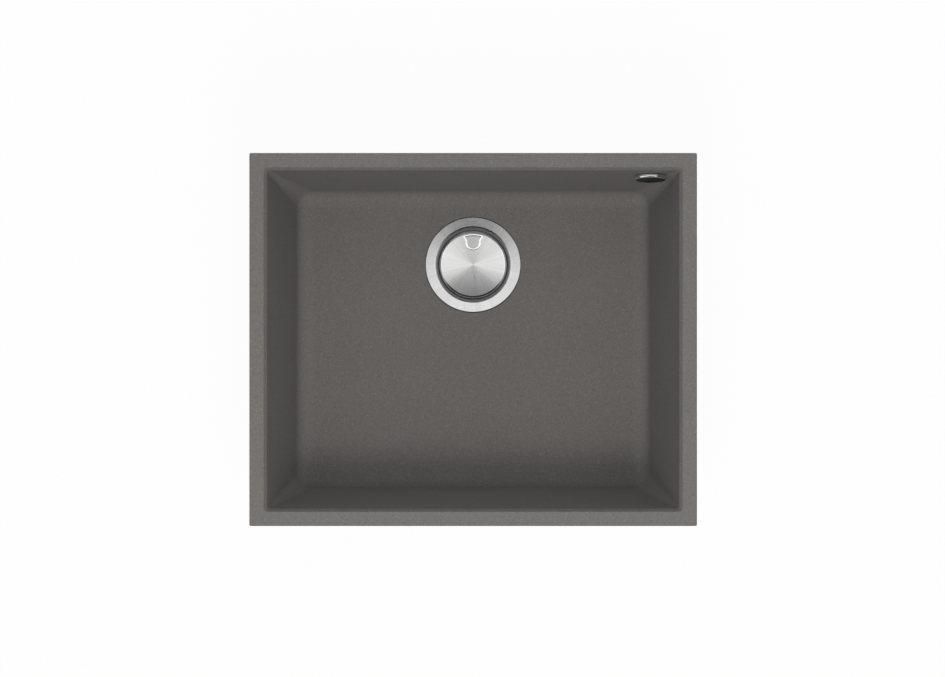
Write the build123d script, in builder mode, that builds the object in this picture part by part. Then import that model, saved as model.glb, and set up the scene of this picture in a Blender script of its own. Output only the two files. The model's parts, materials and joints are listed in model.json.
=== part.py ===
from build123d import *
from math import cos, radians, sin, sqrt, tan
import os

# Single-bowl kitchen sink moulded in granite composite, for fixing under a worktop.
# The bowl carries a basket waste with a tilting cover, and an overflow that is piped to the waste.
# Millimetres. The origin is the middle of the bowl's mouth, on the top face of the rim.
# +Z is up, +Y points to the back of the sink, where the waste is, and +X to the right.

# Rim
RIM_LENGTH = 540.0
RIM_DEPTH = 450.0
RIM_WIDTH = 20.0
RIM_THICKNESS = 14.0
RIM_CORNER_RADIUS = 2.0
RIM_EDGE_RADIUS = 1.2
UNDER_RIM_RADIUS = 3.0

# Bowl
BOWL_DEPTH = 196.0
WALL = 8.0
FLOOR_THICKNESS = 12.0
SIDE_DRAFT = 9.0
END_DRAFT = 5.9
FLOOR_SLOPE = 1.0
MOUTH_CORNER_RADIUS = 2.5
MOUTH_CHAMFER_WIDTH = 2.8
MOUTH_CHAMFER_DEPTH = 5.8
FLOOR_EDGE_RADIUS = 21.0
FLOOR_CORNER_EXTRA = 2.5

# Threaded inserts for the worktop clips, in the underside of the rim
INSERT_RADIUS = 3.5
INSERT_THREAD_RADIUS = 2.1
INSERT_LENGTH = 9.0
INSERT_EDGE_DISTANCE = 6.4
INSERT_SPACING_LONG = 300.0
INSERT_SPACING_SHORT = 220.0

# Waste: place, hole and pressed strainer flange
DRAIN_BACK_DISTANCE = 110.5
DRAIN_HOLE_RADIUS = 48.2
FLANGE_RADIUS = 60.0
FLANGE_SHEET = 1.2
FLANGE_BEND = 3.0
FLANGE_EDGE_RADIUS = 0.5
FLANGE_SUNK = 0.1
FLANGE_FALL = 0.9
FLANGE_SIDE_GAP = 0.9
NECK_GAP = 0.8
NECK_TAPER = 3.0
FLANGE_SEAL_THICKNESS = 1.0
FLANGE_SEAL_WIDTH = 9.0
SEAL_HOLE_GAP = 1.5
DISH_BEND = 5.0
SUMP_RADIUS = 24.0
SUMP_TAPER = 2.0
SUMP_BEND = 2.0
SUMP_CLEARANCE = 1.5
SUMP_HOLE_RADIUS = 4.0
SUMP_HOLE_CIRCLE = 15.0
SUMP_HOLE_COUNT = 6

# Waste: screw that pulls the strainer flange and the drain body together
SCREW_RADIUS = 3.0
SCREW_LENGTH = 24.0
SCREW_HEAD_RADIUS = 5.5
SCREW_HEAD_HEIGHT = 3.0
SCREW_SOCKET_RADIUS = 2.3
SCREW_SOCKET_DEPTH = 1.8
SCREW_CLEARANCE = 0.3
WASHER_RADIUS = 8.5
WASHER_THICKNESS = 1.0
BODY_INSERT_RADIUS = 4.6
BODY_INSERT_LENGTH = 14.0
THREAD_GAP = 0.05

# Waste: drain body under the bowl, with its funnel and outlet
BODY_SEAL_THICKNESS = 2.5
BODY_FLANGE_THICKNESS = 4.0
BODY_WALL = 3.0
BODY_SIDE_GAP = 3.0
BODY_FLANGE_WIDTH = 8.5
CONE_HEIGHT = 26.0
COLLAR_HEIGHT = 6.0
COLLAR_WALL = 2.5
COLLAR_GAP = 0.05
OUTLET_RADIUS = 23.9
OUTLET_BORE_RADIUS = 19.0
OUTLET_LENGTH = 28.0
OUTLET_COLLAR_RADIUS = 27.5
OUTLET_COLLAR_HEIGHT = 5.0
HUB_RADIUS = 9.0
HUB_LENGTH = 20.0
HUB_RIB_COUNT = 3
HUB_RIB_THICKNESS = 3.0
HUB_RIB_DROP = 4.0

# Waste: lift-out basket with its plug
BASKET_SHEET = 0.8
BASKET_FLOOR_RADIUS = 34.0
BASKET_RIM_RADIUS = 36.5
BASKET_LIP = 1.5
BASKET_LIP_BEND = 1.0
BASKET_HEIGHT = 19.0
BASKET_DROP = 19.0
BASKET_BEND = 3.0
BASKET_HOLE_RADIUS = 1.6
BASKET_HOLE_COUNT = 24
BASKET_HOLE_ROWS = 3
BASKET_HOLE_PITCH = 4.6
BASKET_HOLE_START = 4.8
PLUG_SEAL_RADIUS = 31.0
PLUG_SEAL_LAND = 5.0
PLUG_SEAL_THICKNESS = 2.5
PLUG_WEB_THICKNESS = 1.2
PLUG_RETAINER_RADIUS = 20.0
PLUG_RETAINER_THICKNESS = 1.5
PLUG_NUT_FLATS = 20.0
PLUG_NUT_HEIGHT = 4.0
POST_STUB_RADIUS = 7.0
POST_STUB_PROUD = 0.6
POST_STUB_GAP = 0.1
POST_FLANGE_RADIUS = 14.0
POST_FLANGE_THICKNESS = 2.0
POST_RADIUS = 6.0

# Waste: tilting cover with a thumb recess
COVER_RADIUS = 43.4
COVER_SHEET = 1.2
COVER_SUNK = 0.4
COVER_CROWN = 1.4
COVER_LIP = 5.4
COVER_BEND = 4.2
THUMB_WIDTH = 17.2
THUMB_EAR_WIDTH = 23.3
THUMB_LENGTH = 18.4
THUMB_EDGE_DISTANCE = 5.4
THUMB_DEPTH = 2.4
THUMB_FLARE = 6.5
THUMB_CORNER_RADIUS = 1.6
THUMB_EDGE_RADIUS = 1.0
PIN_RADIUS = 1.5
PIN_GAP = 0.06
PIN_OFFSET = 6.0
PIN_DROP = 7.0
PIN_HEAD_RADIUS = 2.6
PIN_HEAD_HEIGHT = 1.0
BRACKET_SHEET = 1.2
BRACKET_GAP = 0.2
BRACKET_EAR_RADIUS = 4.5
BRACKET_FRONT = 9.0
HEAD_WIDTH = 16.0
HEAD_SIDE_GAP = 0.4
HEAD_TURN_GAP = 0.3
HEAD_CHIN = 8.0
HEAD_BACK_HEIGHT = 3.0

# Overflow: cap on the wall, elbow behind it and pipe to the drain body
OVERFLOW_CORNER_DISTANCE = 33.7
OVERFLOW_DROP = 46.0
OVERFLOW_HOLE_RADIUS = 13.0
CAP_RADIUS = 19.0
CAP_HEIGHT = 7.0
CAP_EDGE = 2.2
CAP_SHOULDER = 3.6
CAP_CROWN = 1.2
CAP_SHELL = 1.6
CAP_STUB_RADIUS = 10.6
CAP_STUB_WALL = 1.8
CAP_STUB_LENGTH = 7.0
CAP_SLOT_WIDTH = 2.2
CAP_SLOT_PITCH = 3.8
CAP_SLOT_COUNT = 4
CAP_SLOT_LENGTH = 9.0
CAP_SEAL_THICKNESS = 1.0
CAP_SEAL_INNER_RADIUS = 14.0
CAP_SEAL_INSET = 0.5
ELBOW_NECK_GAP = 0.4
ELBOW_NECK_SHORT = 1.0
ELBOW_SEAL_THICKNESS = 1.5
ELBOW_FLANGE_RADIUS = 18.5
ELBOW_FLANGE_THICKNESS = 2.5
ELBOW_WIDTH = 28.0
ELBOW_TOP = 14.0
ELBOW_BOTTOM = 22.0
ELBOW_DEPTH = 11.2
ELBOW_WALL = 2.0
ELBOW_CORNER_RADIUS = 4.0
PIPE_RADIUS = 7.0
PIPE_WALL = 1.25
PIPE_BEND = 32.0
PIPE_GAP = 0.15
PIPE_WALL_DISTANCE = 9.35
SOCKET_WALL = 1.75
SOCKET_LENGTH = 14.0
SOCKET_SHOULDER = 4.0
SOCKET_BORE_RADIUS = 4.5
O_RING_WIDTH = 1.0
O_RING_THICKNESS = 2.0
O_RING_DEPTH = 1.5
PORT_COLLAR_GAP = 0.7
PORT_RADIUS = 11.5
PORT_LENGTH = 19.0
PORT_STOP = 5.0
PORT_SEAL_THICKNESS = 3.0
PORT_NUT_FLATS = 27.0
PORT_NUT_GRIP = 9.0
PORT_NUT_END = 2.5

# Levels and radii that follow from the sizes above, from the rim downwards
MOUTH_LENGTH = RIM_LENGTH - 2 * RIM_WIDTH
MOUTH_DEPTH = RIM_DEPTH - 2 * RIM_WIDTH
DRAIN_Y = MOUTH_DEPTH / 2 - DRAIN_BACK_DISTANCE
OVERFLOW_X = MOUTH_LENGTH / 2 - OVERFLOW_CORNER_DISTANCE
floor_z = -BOWL_DEPTH
underside_z = floor_z - FLOOR_THICKNESS
flange_top_z = floor_z - FLANGE_SUNK
cover_top_z = flange_top_z - COVER_SUNK
cover_under_z = cover_top_z - COVER_SHEET
bracket_under_z = cover_under_z - BRACKET_GAP - BRACKET_SHEET
pin_z = bracket_under_z - PIN_DROP
basket_rim_z = cover_under_z - BASKET_DROP
basket_under_z = basket_rim_z - BASKET_HEIGHT
basket_floor_z = basket_under_z + BASKET_SHEET
dish_floor_z = basket_under_z - PLUG_SEAL_THICKNESS
retainer_z = basket_under_z - PLUG_WEB_THICKNESS
plug_nut_z = retainer_z - PLUG_RETAINER_THICKNESS
stub_end_z = plug_nut_z - PLUG_NUT_HEIGHT - POST_STUB_PROUD
screw_head_z = stub_end_z - SUMP_CLEARANCE
washer_z = screw_head_z - SCREW_HEAD_HEIGHT
sump_floor_z = washer_z - WASHER_THICKNESS
hub_top_z = sump_floor_z - FLANGE_SHEET
hub_end_z = hub_top_z - HUB_LENGTH
body_flange_z = underside_z - BODY_SEAL_THICKNESS
cone_top_z = hub_top_z
cone_end_z = cone_top_z - CONE_HEIGHT
outlet_z = cone_end_z - OUTLET_LENGTH
collar_top_z = cone_top_z + COLLAR_HEIGHT
port_z = collar_top_z + PORT_COLLAR_GAP + PORT_RADIUS
recess_radius = FLANGE_RADIUS + FLANGE_SIDE_GAP
neck_radius = DRAIN_HOLE_RADIUS - NECK_GAP - FLANGE_SHEET
flange_slope = FLANGE_FALL / (FLANGE_RADIUS - neck_radius)
flange_tilt = sqrt(1 + flange_slope**2)
body_bore_radius = DRAIN_HOLE_RADIUS + BODY_SIDE_GAP
body_radius = body_bore_radius + BODY_WALL
body_flange_radius = body_radius + BODY_FLANGE_WIDTH
collar_bore_radius = body_radius + COLLAR_GAP
collar_radius = collar_bore_radius + COLLAR_WALL
seal_radius = DRAIN_HOLE_RADIUS + SEAL_HOLE_GAP
stub_hole_radius = POST_STUB_RADIUS + POST_STUB_GAP
screw_hole_radius = SCREW_RADIUS + SCREW_CLEARANCE
pin_y = DRAIN_Y + PIN_OFFSET
socket_radius = PIPE_RADIUS + PIPE_GAP + SOCKET_WALL

# Frames of the waste and of the overflow, which stands square on the sloping back wall
DRAIN_AXIS = Axis((0, DRAIN_Y, 0), (0, 0, 1))
DRAIN_SECTION = Plane(origin=(0, DRAIN_Y, 0), x_dir=(1, 0, 0), z_dir=(0, -1, 0))
wall_tilt = radians(END_DRAFT)
wall_normal = Vector(0, -cos(wall_tilt), sin(wall_tilt))
wall_down = Vector(0, -sin(wall_tilt), -cos(wall_tilt))
wall_back = WALL * cos(wall_tilt)
overflow_y = MOUTH_DEPTH / 2 - OVERFLOW_DROP * tan(wall_tilt)
OVERFLOW = Plane(origin=(OVERFLOW_X, overflow_y, -OVERFLOW_DROP), x_dir=(1, 0, 0), z_dir=wall_normal)
OVERFLOW_SECTION = Plane(origin=OVERFLOW.origin, x_dir=(1, 0, 0), z_dir=wall_down)
OVERFLOW_AXIS = Axis(OVERFLOW.origin, wall_normal)
elbow_seal_back = wall_back + ELBOW_SEAL_THICKNESS
elbow_flange_back = elbow_seal_back + ELBOW_FLANGE_THICKNESS
elbow_back = elbow_flange_back + ELBOW_DEPTH
pipe_back = wall_back + PIPE_WALL_DISTANCE
shoulder_end = ELBOW_BOTTOM + SOCKET_SHOULDER
socket_end = shoulder_end + SOCKET_LENGTH
SOCKET = Plane(origin=OVERFLOW.from_local_coords((0, 0, -pipe_back)), x_dir=(1, 0, 0), z_dir=wall_down)

# The overflow pipe runs down along the back wall and then straight to the axis of the waste
pipe_start = SOCKET.from_local_coords((0, 0, shoulder_end))
pipe_drop = (pipe_start.Z - port_z) / cos(wall_tilt)
pipe_corner = pipe_start + wall_down * pipe_drop
port_direction = Vector(pipe_corner.X, pipe_corner.Y - DRAIN_Y, 0).normalized()
PORT = Plane(origin=(0, DRAIN_Y, port_z), x_dir=(0, 0, 1), z_dir=port_direction)
port_stop = body_radius + PORT_STOP
port_end = body_radius + PORT_LENGTH
port_seal_end = port_end + PORT_SEAL_THICKNESS
pipe_end = PORT.from_local_coords((0, 0, port_stop))


def level(z):
    """A horizontal plane at height z, centred on the waste."""
    return Plane(origin=(0, DRAIN_Y, z))


def flange_level(radius, below):
    """Height of the sloping flange's top at a radius, or of what lies the distance below under it."""
    return flange_top_z - (FLANGE_RADIUS - radius) * flange_slope - below * flange_tilt


def bowl_outline(z, grow):
    """Length, depth and corner radius of the bowl's wall at height z, grown outwards by grow."""
    length = MOUTH_LENGTH + 2 * z * tan(radians(SIDE_DRAFT)) + 2 * grow
    depth = MOUTH_DEPTH + 2 * z * tan(radians(END_DRAFT)) + 2 * grow
    floor_corner = FLOOR_EDGE_RADIUS + FLOOR_CORNER_EXTRA
    corner = MOUTH_CORNER_RADIUS + (floor_corner - MOUTH_CORNER_RADIUS) * z / underside_z + grow
    return length, depth, corner


def thumb_outline(grow):
    """Outline of the thumb recess, a round-ended slot that flares to the back of the cover, grown by grow."""
    half = THUMB_WIDTH / 2 + grow
    ear = THUMB_EAR_WIDTH / 2 + grow
    top = COVER_RADIUS - THUMB_EDGE_DISTANCE + grow
    bottom = top - THUMB_LENGTH - 2 * grow
    ear_y = sqrt(top**2 - ear**2)
    flare_y = ear_y - THUMB_FLARE
    round_y = bottom + half
    with BuildSketch() as outline:
        with BuildLine():
            ThreePointArc((-ear, ear_y), (0, top), (ear, ear_y))
            TangentArc((half, flare_y), (ear, ear_y), tangent=(0, 1))
            Line((half, flare_y), (half, round_y))
            ThreePointArc((half, round_y), (0, bottom), (-half, round_y))
            Line((-half, round_y), (-half, flare_y))
            TangentArc((-half, flare_y), (-ear, ear_y), tangent=(0, 1))
        make_face()
        fillet(outline.vertices().sort_by(Axis.Y)[-2:], THUMB_CORNER_RADIUS + grow)
    return outline.sketch


os.makedirs("parts", exist_ok=True)

# Space inside the bowl: drafted walls down to a floor that falls gently to the waste from all sides
floor_reach = RIM_LENGTH
floor_rise = tan(radians(FLOOR_SLOPE))
with BuildPart() as bowl_space:
    for z in (0, underside_z):
        length, depth, corner = bowl_outline(z, 0)
        with BuildSketch(Plane.XY.offset(z)):
            RectangleRounded(length, depth, corner)
    loft(ruled=True)
    with BuildSketch(DRAIN_SECTION):
        with BuildLine():
            Polyline(
                (0, floor_z - recess_radius * floor_rise),
                (floor_reach, floor_z + (floor_reach - recess_radius) * floor_rise),
                (floor_reach, 2 * underside_z),
                (0, 2 * underside_z),
                close=True,
            )
        make_face()
    revolve(axis=DRAIN_AXIS, mode=Mode.SUBTRACT)
    fillet(bowl_space.faces().sort_by(Axis.Z)[0].edges(), FLOOR_EDGE_RADIUS)

# Moulded bowl with its rim, the recess and hole of the waste, and the hole of the overflow
seat_drop = FLANGE_SHEET + FLANGE_SEAL_THICKNESS
insert_long = (INSERT_SPACING_LONG, RIM_DEPTH - 2 * INSERT_EDGE_DISTANCE)
insert_short = (RIM_LENGTH - 2 * INSERT_EDGE_DISTANCE, INSERT_SPACING_SHORT)
with BuildPart() as bowl:
    for z in (0, underside_z):
        length, depth, corner = bowl_outline(z, WALL)
        with BuildSketch(Plane.XY.offset(z)):
            RectangleRounded(length, depth, corner)
    loft(ruled=True)
    fillet(bowl.faces().sort_by(Axis.Z)[0].edges(), FLOOR_EDGE_RADIUS + WALL)
    with BuildSketch(Plane.XY.offset(-RIM_THICKNESS)):
        RectangleRounded(RIM_LENGTH, RIM_DEPTH, RIM_CORNER_RADIUS)
    extrude(amount=RIM_THICKNESS)
    under_rim = bowl.faces().filter_by(Axis.Z).sort_by(lambda face: abs(face.center().Z + RIM_THICKNESS))[0]
    fillet(under_rim.inner_wires()[0].edges(), UNDER_RIM_RADIUS)
    fillet(bowl.faces().sort_by(Axis.Z)[-1].outer_wire().edges(), RIM_EDGE_RADIUS)
    add(bowl_space.part, mode=Mode.SUBTRACT)
    rim_top = bowl.faces().sort_by(Axis.Z)[-1]
    chamfer(rim_top.inner_wires()[0].edges(), MOUTH_CHAMFER_WIDTH, MOUTH_CHAMFER_DEPTH, reference=rim_top)
    with BuildSketch(DRAIN_SECTION):
        with BuildLine():
            Polyline(
                (0, flange_level(0, seat_drop)),
                (recess_radius, flange_level(recess_radius, seat_drop)),
                (recess_radius, floor_z + FLOOR_THICKNESS),
                (0, floor_z + FLOOR_THICKNESS),
                close=True,
            )
        make_face()
    revolve(axis=DRAIN_AXIS, mode=Mode.SUBTRACT)
    with BuildSketch(level(underside_z)):
        Circle(DRAIN_HOLE_RADIUS)
    extrude(amount=BOWL_DEPTH / 2, mode=Mode.SUBTRACT)
    with BuildSketch(OVERFLOW.offset(-2 * WALL)):
        Circle(OVERFLOW_HOLE_RADIUS)
    extrude(amount=3 * WALL, mode=Mode.SUBTRACT)
    with BuildSketch(Plane.XY.offset(-RIM_THICKNESS)):
        with GridLocations(*insert_long, 2, 2):
            Circle(INSERT_RADIUS)
        with GridLocations(*insert_short, 2, 2):
            Circle(INSERT_RADIUS)
    extrude(amount=INSERT_LENGTH, mode=Mode.SUBTRACT)
bowl.part.label = "bowl"
export_step(bowl.part, "parts/bowl.step")

# Threaded inserts, flush with the underside of the rim
with BuildPart() as rim_inserts:
    with BuildSketch(Plane.XY.offset(-RIM_THICKNESS)):
        with GridLocations(*insert_long, 2, 2):
            Circle(INSERT_RADIUS)
            Circle(INSERT_THREAD_RADIUS, mode=Mode.SUBTRACT)
        with GridLocations(*insert_short, 2, 2):
            Circle(INSERT_RADIUS)
            Circle(INSERT_THREAD_RADIUS, mode=Mode.SUBTRACT)
    extrude(amount=INSERT_LENGTH)
rim_inserts.part.label = "rim_inserts"
export_step(rim_inserts.part, "parts/rim_inserts.step")

# Ring that seals the strainer flange to the recess in the floor
seal_end_radius = seal_radius + FLANGE_SEAL_WIDTH
with BuildPart() as flange_seal:
    with BuildSketch(DRAIN_SECTION):
        with BuildLine():
            Polyline(
                (seal_radius, flange_level(seal_radius, seat_drop)),
                (seal_end_radius, flange_level(seal_end_radius, seat_drop)),
                (seal_end_radius, flange_level(seal_end_radius, FLANGE_SHEET)),
                (seal_radius, flange_level(seal_radius, FLANGE_SHEET)),
                close=True,
            )
        make_face()
    revolve(axis=DRAIN_AXIS)
flange_seal.part.label = "flange_seal"
export_step(flange_seal.part, "parts/flange_seal.step")

# Strainer flange: a gently sloping ring with a tapered neck
half_sheet = FLANGE_SHEET / 2
neck_middle = neck_radius + half_sheet
seat_radius = neck_middle - NECK_TAPER
seat_z = dish_floor_z - half_sheet
seam_z = dish_floor_z + DISH_BEND
seam_radius = seat_radius + NECK_TAPER * (seam_z - seat_z) / (flange_top_z - seat_z)
with BuildPart() as strainer_flange:
    with BuildSketch(DRAIN_SECTION):
        with BuildLine():
            FilletPolyline(
                (FLANGE_RADIUS, flange_level(FLANGE_RADIUS, half_sheet)),
                (neck_middle, flange_level(neck_middle, half_sheet)),
                (seam_radius, seam_z),
                radius=FLANGE_BEND - half_sheet,
            )
        trace(line_width=FLANGE_SHEET)
    revolve(axis=DRAIN_AXIS)
    flange_edges = strainer_flange.edges().filter_by(GeomType.CIRCLE).sort_by(SortBy.RADIUS)
    fillet(flange_edges[-2:].sort_by(Axis.Z)[-1], FLANGE_EDGE_RADIUS)
    split(bisect_by=level(seam_z), keep=Keep.TOP)
strainer_flange.part.label = "strainer_flange"
export_step(strainer_flange.part, "parts/strainer_flange.step")

# Strainer cup, welded under the neck: a seat for the plug around a sump with holes
with BuildPart() as strainer_cup:
    with BuildSketch(DRAIN_SECTION):
        with BuildLine():
            FilletPolyline(
                (neck_middle, flange_top_z),
                (seat_radius, seat_z),
                (SUMP_RADIUS, seat_z),
                (SUMP_RADIUS - SUMP_TAPER, sump_floor_z - half_sheet),
                (screw_hole_radius, sump_floor_z - half_sheet),
                radius=(DISH_BEND + half_sheet, SUMP_BEND - half_sheet, SUMP_BEND + half_sheet),
            )
        trace(line_width=FLANGE_SHEET)
    revolve(axis=DRAIN_AXIS)
    split(bisect_by=level(seam_z), keep=Keep.BOTTOM)
    with BuildSketch(level(sump_floor_z - FLANGE_SHEET)):
        with PolarLocations(SUMP_HOLE_CIRCLE, SUMP_HOLE_COUNT):
            Circle(SUMP_HOLE_RADIUS)
    extrude(amount=FLANGE_SHEET, mode=Mode.SUBTRACT)
strainer_cup.part.label = "strainer_cup"
export_step(strainer_cup.part, "parts/strainer_cup.step")

# Thick ring that seals the drain body to the underside of the bowl
with BuildPart() as body_seal:
    with BuildSketch(level(body_flange_z)):
        Circle(body_flange_radius)
        Circle(seal_radius, mode=Mode.SUBTRACT)
    extrude(amount=BODY_SEAL_THICKNESS)
body_seal.part.label = "body_seal"
export_step(body_seal.part, "parts/body_seal.step")

# Drain body: a chamber with a flange at the top and the port of the overflow in its side
with BuildPart() as drain_body:
    with BuildSketch(level(body_flange_z)):
        Circle(body_flange_radius)
    extrude(amount=-BODY_FLANGE_THICKNESS)
    with BuildSketch(level(cone_top_z)):
        Circle(body_radius)
    extrude(amount=body_flange_z - cone_top_z)
    with BuildSketch(PORT):
        Circle(PORT_RADIUS)
    extrude(amount=port_end)
    with BuildSketch(level(cone_top_z)):
        Circle(body_bore_radius)
    extrude(amount=body_flange_z - cone_top_z, mode=Mode.SUBTRACT)
    with BuildSketch(PORT.offset(port_stop)):
        Circle(PIPE_RADIUS + PIPE_GAP)
    extrude(amount=PORT_LENGTH, mode=Mode.SUBTRACT)
    with BuildSketch(PORT.offset(body_bore_radius - BODY_WALL)):
        Circle(PIPE_RADIUS - PIPE_WALL)
    extrude(amount=PORT_LENGTH, mode=Mode.SUBTRACT)
drain_body.part.label = "drain_body"
export_step(drain_body.part, "parts/drain_body.step")

# Space inside the funnel, around the hub that takes the screw and the ribs that hold the hub
with BuildPart() as funnel_space:
    with BuildSketch(DRAIN_SECTION):
        with BuildLine():
            Polyline(
                (0, collar_top_z),
                (collar_bore_radius, collar_top_z),
                (collar_bore_radius, cone_top_z),
                (body_bore_radius, cone_top_z),
                (OUTLET_BORE_RADIUS, cone_end_z),
                (0, cone_end_z),
                close=True,
            )
        make_face()
    revolve(axis=DRAIN_AXIS)
    with BuildSketch(level(hub_end_z)):
        Circle(HUB_RADIUS)
    extrude(amount=HUB_LENGTH, mode=Mode.SUBTRACT)
    with BuildSketch(level(hub_end_z)):
        with PolarLocations(body_radius / 2, HUB_RIB_COUNT):
            Rectangle(body_radius, HUB_RIB_THICKNESS)
    extrude(amount=HUB_LENGTH - HUB_RIB_DROP, mode=Mode.SUBTRACT)

# Funnel under the drain body: a collar that grips the chamber, a cone, and the hub on its ribs
with BuildPart() as drain_funnel:
    with BuildSketch(DRAIN_SECTION):
        with BuildLine():
            Polyline(
                (0, collar_top_z),
                (collar_radius, collar_top_z),
                (collar_radius, cone_top_z - BODY_WALL),
                (OUTLET_RADIUS, cone_end_z),
                (0, cone_end_z),
                close=True,
            )
        make_face()
    revolve(axis=DRAIN_AXIS)
    add(funnel_space.part, mode=Mode.SUBTRACT)
    with BuildSketch(level(hub_end_z)):
        Circle(screw_hole_radius)
    extrude(amount=HUB_LENGTH, mode=Mode.SUBTRACT)
    with BuildSketch(level(hub_end_z)):
        Circle(BODY_INSERT_RADIUS)
    extrude(amount=BODY_INSERT_LENGTH, mode=Mode.SUBTRACT)
drain_funnel.part.label = "drain_funnel"
export_step(drain_funnel.part, "parts/drain_funnel.step")

# Outlet: a threaded tube with a collar, closing the lower end of the funnel
with BuildPart() as outlet_tail:
    with BuildSketch(level(outlet_z)):
        Circle(OUTLET_RADIUS)
    extrude(amount=OUTLET_LENGTH)
    with BuildSketch(level(cone_end_z)):
        Circle(OUTLET_COLLAR_RADIUS)
    extrude(amount=-OUTLET_COLLAR_HEIGHT)
    with BuildSketch(level(outlet_z)):
        Circle(OUTLET_BORE_RADIUS)
    extrude(amount=OUTLET_LENGTH, mode=Mode.SUBTRACT)
outlet_tail.part.label = "outlet_tail"
export_step(outlet_tail.part, "parts/outlet_tail.step")

# Threaded insert in the lower end of the hub
with BuildPart() as body_insert:
    with BuildSketch(level(hub_end_z)):
        Circle(BODY_INSERT_RADIUS)
        Circle(SCREW_RADIUS + THREAD_GAP, mode=Mode.SUBTRACT)
    extrude(amount=BODY_INSERT_LENGTH)
body_insert.part.label = "body_insert"
export_step(body_insert.part, "parts/body_insert.step")

# Washer under the head of the clamp screw
with BuildPart() as screw_washer:
    with BuildSketch(level(sump_floor_z)):
        Circle(WASHER_RADIUS)
        Circle(screw_hole_radius, mode=Mode.SUBTRACT)
    extrude(amount=WASHER_THICKNESS)
screw_washer.part.label = "screw_washer"
export_step(screw_washer.part, "parts/screw_washer.step")

# Clamp screw with a hexagon socket
with BuildPart() as clamp_screw:
    with BuildSketch(level(washer_z)):
        Circle(SCREW_HEAD_RADIUS)
    extrude(amount=SCREW_HEAD_HEIGHT)
    with BuildSketch(level(washer_z)):
        Circle(SCREW_RADIUS)
    extrude(amount=-SCREW_LENGTH)
    with BuildSketch(level(screw_head_z)):
        RegularPolygon(SCREW_SOCKET_RADIUS, 6)
    extrude(amount=-SCREW_SOCKET_DEPTH, mode=Mode.SUBTRACT)
clamp_screw.part.label = "clamp_screw"
export_step(clamp_screw.part, "parts/clamp_screw.step")

# Basket: pressed cup with rows of round holes in its wall
half_basket_sheet = BASKET_SHEET / 2
with BuildPart() as strainer_basket:
    with BuildSketch(DRAIN_SECTION):
        with BuildLine():
            FilletPolyline(
                (BASKET_RIM_RADIUS + BASKET_LIP, basket_rim_z - half_basket_sheet),
                (BASKET_RIM_RADIUS, basket_rim_z - half_basket_sheet),
                (BASKET_FLOOR_RADIUS, basket_under_z + half_basket_sheet),
                (stub_hole_radius, basket_under_z + half_basket_sheet),
                radius=(BASKET_LIP_BEND, BASKET_BEND),
            )
        trace(line_width=BASKET_SHEET)
    revolve(axis=DRAIN_AXIS)
    for row in range(BASKET_HOLE_ROWS):
        row_z = basket_floor_z + BASKET_HOLE_START + row * BASKET_HOLE_PITCH
        with Locations((0, DRAIN_Y, row_z)):
            with PolarLocations(BASKET_FLOOR_RADIUS, BASKET_HOLE_COUNT, start_angle=180 / BASKET_HOLE_COUNT * row):
                Cylinder(BASKET_HOLE_RADIUS, BASKET_FLOOR_RADIUS / 2, rotation=(0, 90, 0), mode=Mode.SUBTRACT)
strainer_basket.part.label = "strainer_basket"
export_step(strainer_basket.part, "parts/strainer_basket.step")

# Plug seal: a thin web under the basket with a thick outer ring that closes on the dish
with BuildPart() as plug_seal:
    with BuildSketch(level(basket_under_z)):
        Circle(PLUG_SEAL_RADIUS)
        Circle(stub_hole_radius, mode=Mode.SUBTRACT)
    extrude(amount=-PLUG_WEB_THICKNESS)
    with BuildSketch(level(basket_under_z)):
        Circle(PLUG_SEAL_RADIUS)
        Circle(PLUG_SEAL_RADIUS - PLUG_SEAL_LAND, mode=Mode.SUBTRACT)
    extrude(amount=-PLUG_SEAL_THICKNESS)
plug_seal.part.label = "plug_seal"
export_step(plug_seal.part, "parts/plug_seal.step")

# Plate that holds the plug seal against the basket
with BuildPart() as plug_retainer:
    with BuildSketch(level(plug_nut_z)):
        Circle(PLUG_RETAINER_RADIUS)
        Circle(stub_hole_radius, mode=Mode.SUBTRACT)
    extrude(amount=PLUG_RETAINER_THICKNESS)
plug_retainer.part.label = "plug_retainer"
export_step(plug_retainer.part, "parts/plug_retainer.step")

# Hexagon nut on the stub of the post
with BuildPart() as plug_nut:
    with BuildSketch(level(plug_nut_z)):
        RegularPolygon(PLUG_NUT_FLATS / 2, 6, major_radius=False)
        Circle(POST_STUB_RADIUS + THREAD_GAP, mode=Mode.SUBTRACT)
    extrude(amount=-PLUG_NUT_HEIGHT)
plug_nut.part.label = "plug_nut"
export_step(plug_nut.part, "parts/plug_nut.step")

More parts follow.
